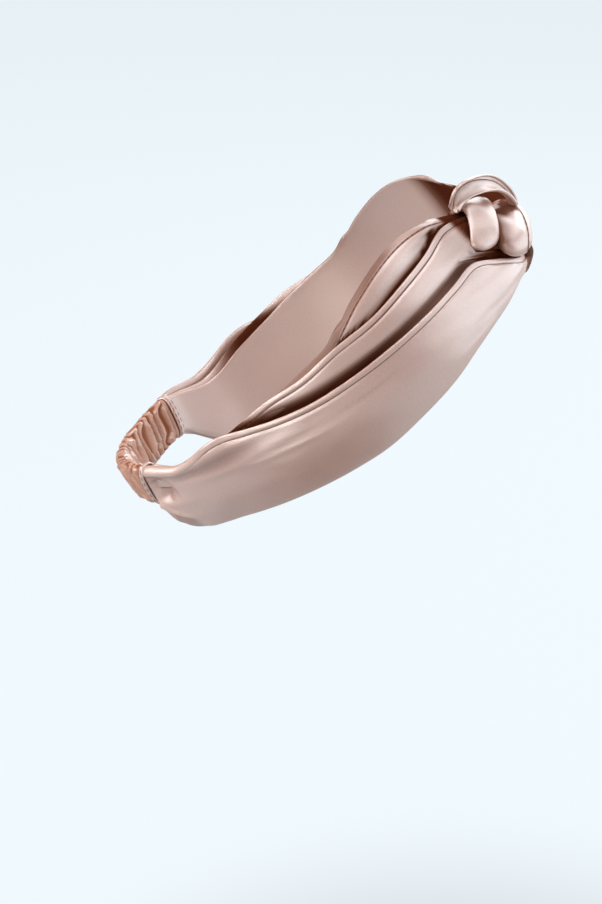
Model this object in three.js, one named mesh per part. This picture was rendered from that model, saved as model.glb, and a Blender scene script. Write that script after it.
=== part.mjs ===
// A pleated satin headband, knotted at the front, with a ruched elastic casing at the back.
// Millimetres. +Z is up, the knot faces -Y, and the wearer's right side is -X.
// The origin is the centre of the tilted ring that sits on the head.
import * as THREE from 'three';

// Driving dimensions
const RING_HALF_WIDTH = 75; // inside of the ring, side to side
const RING_HALF_LENGTH = 97; // inside of the ring, front to back
const RING_TILT = 30; // degrees that the front is raised
const CROWN_ROUNDING = 100; // height above the ring at which the head would close
const NAPE_ROUNDING = 170; // depth below the ring at which the head would close
const BAND_CLOTH = 1.0; // wall of the pleated strip
const KNOT_CLOTH = 1.1; // wall of the knot's strip
const BINDING_CLOTH = 1.1; // wall of the seam bindings and the casing

// Where the pieces lie round the ring, in degrees from the middle of the back
const FRONT_ANGLE = 180; // middle of the front
const SEAM_ANGLE = 28; // middle of each seam binding
const SEAM_LEAN = 0.11; // degrees further round for each millimetre higher
const SEAM_HALF_ANGLE = 1.4; // half of a binding's length
const JOIN_HALF_ANGLE = 0.4; // half of the gap between the band and the casing inside a binding

// The pleats
const TUCK = 12; // how far each pleat is folded back behind the one in front of it
const STITCH_DEPTH = 3.4; // from a pleat's edge down to its row of stitches
const EDGE_ROUND = 0.9; // from a pleat's edge down to where its fold is full
const GATHER_LENGTH = 17; // degrees over which the gathers at the seam die away
const SWELL_SCALE = 6.75; // makes the highest point of a gather 1
const BAND_STATIONS = 25; // sections along each half of the band
const END_CROWDING = 0.75; // how much closer the sections lie at both ends, from 0 to 1

// Heights of the band's lower edge and of the edges of its three pleats along the ring, and how
// the layers lie: base is the lift of the head side from the head, pitch the step between layers.
const BAND_LINES = [
  { angle: 26, lower: -22.0, front: -5.4, middle: -5.2, upper: -5.2, base: 2.2, pitch: 1.25 },
  { angle: 28.6, lower: -22.6, front: -5.4, middle: -5.2, upper: -5.2, base: 2.2, pitch: 1.25 },
  { angle: 31.6, lower: -30.4, front: -5.0, middle: -5.2, upper: -5.4, base: 2.2, pitch: 1.25 },
  { angle: 36, lower: -37.6, front: -4.8, middle: -6.4, upper: -7.4, base: 1.1, pitch: 1.4 },
  { angle: 43, lower: -39.8, front: -6.0, middle: -8.2, upper: -9.6, base: 0.8, pitch: 1.6 },
  { angle: 49, lower: -40.4, front: -4.4, middle: -7.2, upper: -9.2, base: 0.8, pitch: 1.65 },
  { angle: 55, lower: -40.8, front: -1.4, middle: -4.0, upper: -6.4, base: 0.8, pitch: 1.7 },
  { angle: 61, lower: -41.1, front: 0.5, middle: -1.6, upper: -4.2, base: 0.8, pitch: 1.75 },
  { angle: 68, lower: -41.4, front: 0.0, middle: 1.0, upper: -1.8, base: 0.8, pitch: 1.8 },
  { angle: 80, lower: -41.6, front: -2.4, middle: 5.3, upper: 3.4, base: 0.8, pitch: 1.9 },
  { angle: 93, lower: -41.3, front: -3.5, middle: 7.1, upper: 8.2, base: 0.8, pitch: 1.9 },
  { angle: 106, lower: -40.2, front: -2.5, middle: 11.3, upper: 13.0, base: 0.8, pitch: 1.9 },
  { angle: 120, lower: -36.3, front: -0.3, middle: 13.8, upper: 24.0, base: 0.8, pitch: 1.9 },
  { angle: 134, lower: -31.5, front: 2.5, middle: 18.7, upper: 31.4, base: 0.8, pitch: 1.8 },
  { angle: 144, lower: -26.5, front: 5.0, middle: 22.3, upper: 33.6, base: 0.8, pitch: 1.7 },
  { angle: 153, lower: -22.7, front: 5.8, middle: 26.0, upper: 32.0, base: 1.8, pitch: 1.45 },
  { angle: 160, lower: -20.2, front: 1.0, middle: 22.3, upper: 24.6, base: 2.8, pitch: 1.4 },
  { angle: 170, lower: -17.8, front: -8.0, middle: 17.0, upper: 20.0, base: 3.0, pitch: 1.35 },
  { angle: 180, lower: -20.5, front: -15.0, middle: 15.0, upper: 18.0, base: 3.0, pitch: 1.3 },
];

// The creases of the folded strip, from the top of its head side down, round the lower edge and up
// through the pleats. A crease lies a share of the way from one line to another, less a drop.
// layer counts layers out from the head, gather is the lift added at the seam, and reach is the
// angle where the crease ends at the knot: the upper pleats run into it and the front one below.
const BAND_CREASES = [
  { from: 'upper', to: 'lower', share: 0, drop: 2.4, layer: 0, gather: 0, reach: 167 },
  { from: 'upper', to: 'lower', share: 0.22, drop: 0, layer: 0, gather: 0, reach: 157.5 },
  { from: 'upper', to: 'lower', share: 0.38, drop: 0, layer: 0, gather: 0, reach: 152.5 },
  { from: 'upper', to: 'lower', share: 0.6, drop: 0, layer: 0, gather: 0, reach: 153.5 },
  { from: 'upper', to: 'lower', share: 1, drop: -5, layer: 0, gather: 0, reach: 172 },
  { from: 'upper', to: 'lower', share: 1, drop: -1, layer: 0.2, gather: 0, reach: 179 },
  { from: 'lower', to: 'front', share: 0, drop: 0, layer: 1, gather: 0, reach: 179.7 },
  { from: 'lower', to: 'front', share: 0.05, drop: 0, layer: 2.2, gather: 0, reach: 179.7 },
  { from: 'lower', to: 'front', share: 0.22, drop: 0, layer: 3.9, gather: 0.6, reach: 179.7 },
  { from: 'lower', to: 'front', share: 0.45, drop: 0, layer: 5.1, gather: 1.4, reach: 179.7 },
  { from: 'lower', to: 'front', share: 0.66, drop: 0, layer: 5.35, gather: -1.6, reach: 179.7 },
  { from: 'front', to: 'lower', share: 0, drop: STITCH_DEPTH, layer: 5.05, gather: 0.3, reach: 179.7 },
  { from: 'front', to: 'lower', share: 0, drop: EDGE_ROUND, layer: 5.15, gather: 0.5, reach: 179.7 },
  { from: 'front', to: 'lower', share: 0, drop: 0, layer: 4.6, gather: 0.4, reach: 179.5 },
  { from: 'front', to: 'lower', share: 0, drop: EDGE_ROUND, layer: 4.05, gather: 0.3, reach: 178 },
  { from: 'front', to: 'lower', share: 0, drop: STITCH_DEPTH, layer: 4, gather: 0.2, reach: 172 },
  { from: 'front', to: 'lower', share: 0, drop: TUCK - 1, layer: 4, gather: 0, reach: 160 },
  { from: 'front', to: 'lower', share: 0, drop: TUCK, layer: 3.5, gather: 0, reach: 160 },
  { from: 'front', to: 'lower', share: 0, drop: TUCK - 1, layer: 3, gather: 0, reach: 160 },
  { from: 'tuck', to: 'middle', share: 0.25, drop: 0, layer: 3.05, gather: 0, reach: 169 },
  { from: 'tuck', to: 'middle', share: 0.65, drop: 0, layer: 3.1, gather: 0, reach: 153 },
  { from: 'middle', to: 'lower', share: 0, drop: STITCH_DEPTH, layer: 3, gather: 0, reach: 167 },
  { from: 'middle', to: 'lower', share: 0, drop: EDGE_ROUND, layer: 3.1, gather: 0, reach: 167 },
  { from: 'middle', to: 'lower', share: 0, drop: 0, layer: 2.6, gather: 0, reach: 167 },
  { from: 'middle', to: 'lower', share: 0, drop: EDGE_ROUND, layer: 2.05, gather: 0, reach: 167 },
  { from: 'middle', to: 'lower', share: 0, drop: TUCK - 1, layer: 2, gather: 0, reach: 153.5 },
  { from: 'middle', to: 'lower', share: 0, drop: TUCK, layer: 1.55, gather: 0, reach: 152.5 },
  { from: 'middle', to: 'lower', share: 0, drop: TUCK - 1, layer: 1.05, gather: 0, reach: 153.5 },
  { from: 'upper', to: 'lower', share: 0, drop: STITCH_DEPTH, layer: 1.1, gather: 0, reach: 167 },
  { from: 'upper', to: 'lower', share: 0, drop: EDGE_ROUND, layer: 1.05, gather: 0, reach: 167 },
  { from: 'upper', to: 'lower', share: 0, drop: 0, layer: 0.55, gather: 0, reach: 167 },
  { from: 'upper', to: 'lower', share: 0, drop: EDGE_ROUND, layer: 0.05, gather: 0, reach: 167 },
];
const RIGHT_FLARE = -0.2; // how far the right front pleat draws in under the knot, as a share
const LEFT_FLARE = 0.15; // how far the left one flares out, as a share
const FLARE_START = 166; // angle where these begin
const LEFT_DROP = 7.8; // how much lower the left half's upper pleats enter the leaning knot
const DROP_START = 146; // angle where they begin to drop
const DROP_END = 166; // angle where they have dropped
const FAN_ANGLE = 140; // beyond this angle the sections fan out to the ends of the creases
const FAN_SHARE = 0.62; // share of the sections before it

// The creases of the knot's wrap from its right edge to its left: three pleats, the right one folded
// over the full one in the middle, and that one over the left. Each crease is a rounded loop round
// the ends of the band: angle and front are its angle and lift at the front, low and high its heights.
const WRAP_CREASES = [
  { angle: 157.4, front: 8.8, low: 11.5, high: 26.8 },
  { angle: 156.6, front: 9.8, low: 10.8, high: 27.6 },
  { angle: 157.4, front: 11.2, low: 9.6, high: 27.8 },
  { angle: 160, front: 12.8, low: 8.2, high: 27.2 },
  { angle: 163, front: 13.6, low: 7.2, high: 26 },
  { angle: 165.4, front: 13.6, low: 6.8, high: 24.4 },
  { angle: 166.2, front: 12.8, low: 7.4, high: 23.6 },
  { angle: 165.4, front: 12, low: 8, high: 22.8 },
  { angle: 164.4, front: 11.2, low: 8.4, high: 22 },
  { angle: 165.4, front: 10.4, low: 8, high: 21 },
  { angle: 167, front: 11.6, low: 4.6, high: 18.6 },
  { angle: 169, front: 14.4, low: 0, high: 15.6 },
  { angle: 172, front: 16.8, low: -3.6, high: 13.2 },
  { angle: 175.6, front: 18.2, low: -5.8, high: 11.8 },
  { angle: 179.2, front: 18.4, low: -6.4, high: 11.2 },
  { angle: 181.4, front: 17.6, low: -6, high: 10.8 },
  { angle: 182.2, front: 16.8, low: -5.2, high: 10.2 },
  { angle: 181.4, front: 16, low: -4.4, high: 9.6 },
  { angle: 180.2, front: 15, low: -3.6, high: 9 },
  { angle: 181.4, front: 14.4, low: -3.2, high: 9.4 },
  { angle: 183.4, front: 15.2, low: -3.6, high: 13 },
  { angle: 186, front: 17.2, low: -3, high: 16.5 },
  { angle: 189, front: 16.8, low: -1.6, high: 17.5 },
  { angle: 193, front: 14, low: 0, high: 17 },
  { angle: 196, front: 11, low: 1, high: 16.5 },
];
const WRAP_BACK = 0; // lift of the wrap's back, where the creases lie evenly side by side
const WRAP_LEAN = 0.6; // degrees further round for each millimetre higher, on the front of the wrap
const WRAP_LEVEL = 15; // height where a crease's front lies at its own angle
const WRAP_STATIONS = 26; // sections round the wrap
const WRAP_SQUARENESS = 2.6; // 2 is an ellipse, more is boxier

// Sections of the loop that stands over the wrap, from the right side of the knot to its front.
// Each gives the place of the loop's inner and outer edges: angle, height and lift.
const LOOP_SECTIONS = [
  { inner: [159.4, 29.4, 10.8], outer: [161.8, 30, 4.6] },
  { inner: [162.4, 29.8, 11.8], outer: [161.6, 33, 8.6] },
  { inner: [165.6, 28.8, 13], outer: [162.4, 36.2, 13] },
  { inner: [168.2, 27, 15.6], outer: [165, 36.6, 16.6] },
  { inner: [170.2, 24, 17.4], outer: [169.6, 33.2, 18.2] },
  { inner: [172.4, 20.2, 18], outer: [174.6, 26.8, 18.4] },
  { inner: [174.2, 15.6, 17.8], outer: [177, 18.2, 18.2] },
  { inner: [175.4, 12, 17.8], outer: [176.6, 11.4, 17.8] },
];
const LOOP_STATIONS = 18; // sections along the loop
const LOOP_CREASES = 6; // points across the loop
const LOOP_BULGE = 1.8; // how far the loop's middle stands out between its edges

// The ruched casing and the seam bindings, as rounded sections lying on the ring
const SECTION_MIDDLE = { height: -13.4, lift: 5.5 };
const CASING_HALF_HEIGHT = 9.6;
const CASING_HALF_DEPTH = 3.5;
const CASING_END = 1.05; // size of the casing's ends inside the bindings
const CASING_STATIONS = 37;
const CASING_CREASES = 12;
const RUCHES = 15; // puckers along the casing
const RUCHE_DEPTH = 0.9;
const RUCHE_TWIST = 2; // how the puckers lean round the casing
const BINDING_HALF_HEIGHT = 11.6;
const BINDING_HALF_DEPTH = 5.3;
const BINDING_CREASES = 22;
const BINDING_STATIONS = 3;
const SECTION_SQUARENESS = 4;

// Colours of the satin
const ROSE = 0xc9a79b;
const ROSE_DEEP = 0xc08f7d;
const SATIN = { roughness: 0.38, metalness: 0 };

const radians = THREE.MathUtils.degToRad;
const mix = THREE.MathUtils.lerp;

// A smooth function through one column of a table
function column(table, key, name) {
  const keys = table.map((row) => row[key]);
  const values = table.map((row) => row[name]);
  const curve = new THREE.CubicInterpolant(keys, values, 1);
  return (x) => curve.evaluate(x)[0];
}

// A point at an angle round the ring, at a height over it, lifted off the head
function onRing(angle, height, lift) {
  const turn = radians(angle);
  const rounding = height > 0 ? CROWN_ROUNDING : NAPE_ROUNDING;
  const taper = Math.sqrt(1 - (height / rounding) ** 2);
  const oval = 1 / Math.hypot(Math.sin(turn) / RING_HALF_WIDTH, Math.cos(turn) / RING_HALF_LENGTH);
  const radius = oval * taper + lift;
  return new THREE.Vector3(-radius * Math.sin(turn), radius * Math.cos(turn), height);
}

// One coordinate of a circle pressed towards a square
function roundedCircle(value, squareness) {
  return Math.sign(value) * Math.abs(value) ** (2 / squareness);
}

// A share of the way along that crowds towards both ends
function easedShare(share) {
  return share - (END_CROWDING * Math.sin(2 * Math.PI * share)) / (2 * Math.PI);
}

// A bump that rises quickly, is highest a third of the way along and dies away at the end
function swell(share) {
  const x = Math.min(share, 1);
  return SWELL_SCALE * x * (1 - x) ** 2;
}

// A closed wall of cloth about a grid of points: rows run along the piece and each holds the
// points across it. Either direction may close on itself, and open edges get a rim.
function clothWall(rows, thickness, { closedAlong = false, closedAcross = false } = {}) {
  const along = rows.length;
  const across = rows[0].length;
  const wrap = (i, count, closed) => (closed ? (i + count) % count : Math.min(Math.max(i, 0), count - 1));
  const point = (i, k) => rows[wrap(i, along, closedAlong)][wrap(k, across, closedAcross)];
  const outside = [];
  const inside = [];
  for (let i = 0; i < along; i += 1) {
    for (let k = 0; k < across; k += 1) {
      const runAlong = point(i + 1, k).clone().sub(point(i - 1, k));
      const before = point(i, k).clone().sub(point(i, k - 1)).normalize();
      const after = point(i, k + 1).clone().sub(point(i, k)).normalize();
      const normal = runAlong.cross(before.add(after)).setLength(thickness / 2);
      outside.push(point(i, k).clone().add(normal));
      inside.push(point(i, k).clone().sub(normal));
    }
  }
  const outer = (i, k) => wrap(i, along, closedAlong) * across + wrap(k, across, closedAcross);
  const inner = (i, k) => along * across + outer(i, k);
  const triangles = [];
  const quad = (a, b, c, d) => triangles.push(a, b, c, a, c, d);
  const cellsAlong = closedAlong ? along : along - 1;
  const cellsAcross = closedAcross ? across : across - 1;
  for (let i = 0; i < cellsAlong; i += 1) {
    for (let k = 0; k < cellsAcross; k += 1) {
      quad(outer(i, k), outer(i + 1, k), outer(i + 1, k + 1), outer(i, k + 1));
      quad(inner(i, k + 1), inner(i + 1, k + 1), inner(i + 1, k), inner(i, k));
    }
  }
  if (!closedAcross) {
    const last = across - 1;
    for (let i = 0; i < cellsAlong; i += 1) {
      quad(outer(i + 1, 0), outer(i, 0), inner(i, 0), inner(i + 1, 0));
      quad(outer(i, last), outer(i + 1, last), inner(i + 1, last), inner(i, last));
    }
  }
  if (!closedAlong) {
    const last = along - 1;
    for (let k = 0; k < cellsAcross; k += 1) {
      quad(outer(0, k), outer(0, k + 1), inner(0, k + 1), inner(0, k));
      quad(outer(last, k + 1), outer(last, k), inner(last, k), inner(last, k + 1));
    }
  }
  const geometry = new THREE.BufferGeometry().setFromPoints([...outside, ...inside]);
  geometry.setIndex(triangles);
  geometry.computeVertexNormals();
  return geometry;
}

// The middle of a seam at a height
function seamAngle(height) {
  return SEAM_ANGLE + SEAM_LEAN * (height - SECTION_MIDDLE.height);
}

// One half of the band: the pleated strip from the seam to the knot
function bandRows({ flare, drop }) {
  const lines = {};
  for (const name of ['lower', 'front', 'middle', 'upper', 'base', 'pitch']) {
    lines[name] = column(BAND_LINES, 'angle', name);
  }
  const dropped = (line) => (angle) => (
    line(angle) - drop * THREE.MathUtils.smoothstep(angle, DROP_START, DROP_END)
  );
  lines.middle = dropped(lines.middle);
  lines.upper = dropped(lines.upper);
  lines.tuck = (angle) => lines.front(angle) - TUCK;
  const heightAt = (crease, angle) => (
    mix(lines[crease.from](angle), lines[crease.to](angle), crease.share) - crease.drop
  );
  const rows = [];
  for (let i = 0; i < BAND_STATIONS; i += 1) {
    const share = easedShare(i / (BAND_STATIONS - 1));
    rows.push(BAND_CREASES.map((crease) => {
      const start = seamAngle(heightAt(crease, BAND_LINES[0].angle)) + JOIN_HALF_ANGLE;
      const angle = share < FAN_SHARE
        ? mix(start, FAN_ANGLE, share / FAN_SHARE)
        : mix(FAN_ANGLE, crease.reach, (share - FAN_SHARE) / (1 - FAN_SHARE));
      const gather = crease.gather * swell((angle - start) / GATHER_LENGTH);
      const spread = 1 + flare * THREE.MathUtils.smoothstep(angle, FLARE_START, FRONT_ANGLE);
      const lift = lines.base(angle) + crease.layer * lines.pitch(angle) * spread + gather;
      return onRing(angle, heightAt(crease, angle), lift);
    }));
  }
  return rows;
}

function mirrored(rows) {
  return rows.map((row) => row.map((p) => new THREE.Vector3(-p.x, p.y, p.z)));
}

// The wrap of the knot: a ring of pleated strip round the ends of the band
function wrapRows() {
  const first = WRAP_CREASES[0];
  const last = WRAP_CREASES[WRAP_CREASES.length - 1];
  const rows = [];
  for (let i = 0; i < WRAP_STATIONS; i += 1) {
    const turn = (2 * Math.PI * i) / WRAP_STATIONS;
    const outward = roundedCircle(Math.cos(turn), WRAP_SQUARENESS);
    const upward = roundedCircle(Math.sin(turn), WRAP_SQUARENESS);
    rows.push(WRAP_CREASES.map(({ angle, front, low, high }, k) => {
      const height = mix(low, high, (1 + upward) / 2);
      const lean = WRAP_LEAN * (height - WRAP_LEVEL);
      const backAngle = mix(first.angle, last.angle, k / (WRAP_CREASES.length - 1));
      const share = (1 + outward) / 2;
      return onRing(mix(backAngle, angle + lean, share), height, mix(WRAP_BACK, front, share));
    }));
  }
  return rows;
}

// The loop that stands over the wrap, bulged between its two edges
function loopRows() {
  const edge = (name) => new THREE.CatmullRomCurve3(
    LOOP_SECTIONS.map((section) => onRing(...section[name])),
  );
  const innerEdge = edge('inner');
  const outerEdge = edge('outer');
  const rows = [];
  for (let i = 0; i < LOOP_STATIONS; i += 1) {
    const share = i / (LOOP_STATIONS - 1);
    const inner = innerEdge.getPoint(share);
    const outer = outerEdge.getPoint(share);
    const run = innerEdge.getTangent(share);
    const out = outer.clone().sub(inner).cross(run).normalize();
    const row = [];
    for (let k = 0; k < LOOP_CREASES; k += 1) {
      const across = k / (LOOP_CREASES - 1);
      const bulge = LOOP_BULGE * Math.sin(Math.PI * across);
      row.push(inner.clone().lerp(outer, across).addScaledVector(out, bulge));
    }
    rows.push(row);
  }
  return rows;
}

// A rounded section across the ring, as a closed row of points: angleAt gives the angle at a height
function sectionRow(angleAt, halfHeight, halfDepth, count, pucker) {
  const row = [];
  for (let k = 0; k < count; k += 1) {
    const turn = (2 * Math.PI * k) / count;
    const depth = halfDepth + pucker(turn);
    const height = SECTION_MIDDLE.height + halfHeight * roundedCircle(Math.cos(turn), SECTION_SQUARENESS);
    const out = depth * roundedCircle(Math.sin(turn), SECTION_SQUARENESS);
    row.push(onRing(angleAt(height), height, SECTION_MIDDLE.lift + out));
  }
  return row;
}

// The ruched casing across the back
function casingRows() {
  const rows = [];
  for (let i = 0; i < CASING_STATIONS; i += 1) {
    const share = i / (CASING_STATIONS - 1);
    const side = mix(-1, 1, share);
    const angleAt = (height) => side * (seamAngle(height) - JOIN_HALF_ANGLE);
    const inBinding = SEAM_ANGLE * (1 - Math.abs(side)) < SEAM_HALF_ANGLE;
    const size = inBinding ? CASING_END : 1;
    const depth = inBinding ? 0 : RUCHE_DEPTH;
    const pucker = (turn) => depth * Math.sin(2 * Math.PI * RUCHES * share + RUCHE_TWIST * Math.cos(turn));
    const halfHeight = CASING_HALF_HEIGHT * size;
    const halfDepth = CASING_HALF_DEPTH * size;
    rows.push(sectionRow(angleAt, halfHeight, halfDepth, CASING_CREASES, pucker));
  }
  return rows;
}

// The right seam binding, a short sleeve over the ends of the band and the casing
function bindingRows() {
  const rows = [];
  for (let i = 0; i < BINDING_STATIONS; i += 1) {
    const step = mix(-SEAM_HALF_ANGLE, SEAM_HALF_ANGLE, i / (BINDING_STATIONS - 1));
    const angleAt = (height) => seamAngle(height) + step;
    rows.push(sectionRow(angleAt, BINDING_HALF_HEIGHT, BINDING_HALF_DEPTH, BINDING_CREASES, () => 0));
  }
  return rows;
}

const ring = new THREE.Group();
ring.rotation.x = radians(-RING_TILT);

function addPiece(name, geometry, color) {
  const material = new THREE.MeshStandardMaterial({ color, ...SATIN });
  const mesh = new THREE.Mesh(geometry, material);
  mesh.name = name;
  ring.add(mesh);
}

const tube = { closedAcross: true };
const rightBand = bandRows({ flare: RIGHT_FLARE, drop: 0 });
const leftBand = mirrored(bandRows({ flare: LEFT_FLARE, drop: LEFT_DROP }));
addPiece('band_right', clothWall(rightBand, BAND_CLOTH, tube), ROSE);
addPiece('band_left', clothWall(leftBand, BAND_CLOTH, tube), ROSE);
addPiece('knot_wrap', clothWall(wrapRows(), KNOT_CLOTH, { closedAlong: true }), ROSE);
addPiece('knot_loop', clothWall(loopRows(), KNOT_CLOTH), ROSE);
addPiece('elastic_casing', clothWall(casingRows(), BINDING_CLOTH, tube), ROSE_DEEP);
addPiece('seam_right', clothWall(bindingRows(), BINDING_CLOTH, tube), ROSE);
addPiece('seam_left', clothWall(mirrored(bindingRows()), BINDING_CLOTH, tube), ROSE);

const headband = new THREE.Group();
headband.add(ring);

export default headband;
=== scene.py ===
import math

import bpy
import numpy as np
from mathutils import Matrix, Vector, noise


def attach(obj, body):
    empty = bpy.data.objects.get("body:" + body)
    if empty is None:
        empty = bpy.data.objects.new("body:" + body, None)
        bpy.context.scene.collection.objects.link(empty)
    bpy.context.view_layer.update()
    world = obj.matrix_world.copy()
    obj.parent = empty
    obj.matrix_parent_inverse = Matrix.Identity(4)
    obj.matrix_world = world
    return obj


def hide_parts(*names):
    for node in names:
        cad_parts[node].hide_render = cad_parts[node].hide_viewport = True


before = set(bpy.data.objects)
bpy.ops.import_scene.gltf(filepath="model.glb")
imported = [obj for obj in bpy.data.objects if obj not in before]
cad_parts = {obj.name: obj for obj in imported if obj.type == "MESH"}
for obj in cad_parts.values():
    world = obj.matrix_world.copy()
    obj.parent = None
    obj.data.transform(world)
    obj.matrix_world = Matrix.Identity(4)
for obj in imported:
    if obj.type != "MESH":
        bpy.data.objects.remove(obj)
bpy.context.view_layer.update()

MM = 0.001

# The ring that sits on the head, in millimetres and degrees, as in the solids
RING_HALF_WIDTH = 75
RING_HALF_LENGTH = 97
RING_TILT = math.radians(30)
CROWN_ROUNDING = 100
NAPE_ROUNDING = 170
FRONT_ANGLE = 180
ARC_PER_DEGREE = 1.5  # millimetres round the ring for each degree, about the mean

# Thickness of the cloth
BAND_CLOTH = 0.5
KNOT_CLOTH = 0.8
BINDING_CLOTH = 0.6

# Seams
SEAM_ANGLE = 28
SEAM_LEAN = 0.11
JOIN_HALF_ANGLE = 0.4

# Pleats
TUCK = 12
SMALL_TUCK = 7  # behind the middle pleat
STITCH_DEPTH = 2.5
GROOVE_REACH = 0.4  # from the stitches to where the dent about them ends
EDGE_ROUND = 0.6
GATHER_LENGTH = 17
SWELL_SCALE = 6.75
BAND_STATIONS = 230
END_CROWDING = 0.55
FAN_ANGLE = 140
FAN_SHARE = 0.66

LINE_COLUMNS = ("angle", "lower", "front", "middle", "upper", "base", "pitch")
BAND_LINES = (
    (26, -21.6, -4.0, -4.3, -4.5, 2.2, 1.25),
    (27.2, -22.8, -4.0, -4.3, -4.5, 2.2, 1.25),
    (28.2, -33.0, -3.9, -4.3, -4.6, 2.2, 1.25),
    (29.4, -37.0, -3.7, -4.3, -4.7, 2.2, 1.25),
    (31.4, -39.0, -3.4, -4.6, -5.3, 2.1, 1.28),
    (34.5, -39.9, -3.9, -5.8, -6.8, 1.6, 1.38),
    (38, -40.2, -5.0, -7.4, -8.7, 1.1, 1.5),
    (42, -40.3, -6.1, -8.7, -10.2, 0.8, 1.6),
    (45.5, -40.4, -5.7, -8.4, -10.2, 0.8, 1.62),
    (49, -40.4, -4.5, -7.3, -9.4, 0.8, 1.65),
    (52, -40.6, -3.1, -5.8, -8.0, 0.8, 1.68),
    (56, -40.9, -0.9, -3.6, -6.0, 0.8, 1.7),
    (60, -41.1, 0.4, -1.9, -4.5, 0.8, 1.74),
    (63.5, -41.3, 0.7, -0.6, -3.3, 0.8, 1.78),
    (70, -41.5, -0.5, 1.8, -0.9, 0.8, 1.84),
    (80, -41.6, -2.4, 5.3, 3.4, 0.8, 1.9),
    (93, -41.3, -3.5, 7.1, 8.2, 0.8, 1.9),
    (106, -40.2, -2.5, 11.3, 13.0, 0.8, 1.9),
    (120, -36.3, -0.3, 13.8, 24.2, 0.8, 1.9),
    (134, -31.5, 2.5, 18.7, 31.8, 0.8, 1.8),
    (144, -26.5, 5.0, 22.3, 33.6, 0.8, 1.7),
    (153, -22.7, 6.6, 26.2, 31.6, 1.8, 1.45),
    (160, -20.2, 0.8, 24.2, 27.6, 2.8, 1.4),
    (170, -17.8, -8.0, 18.0, 21.0, 3.0, 1.35),
    (175, -18.8, -10.2, 16.5, 19.5, 3.0, 1.32),
    (180, -20.5, -11.6, 15.0, 18.0, 3.0, 1.3),
)

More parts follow.
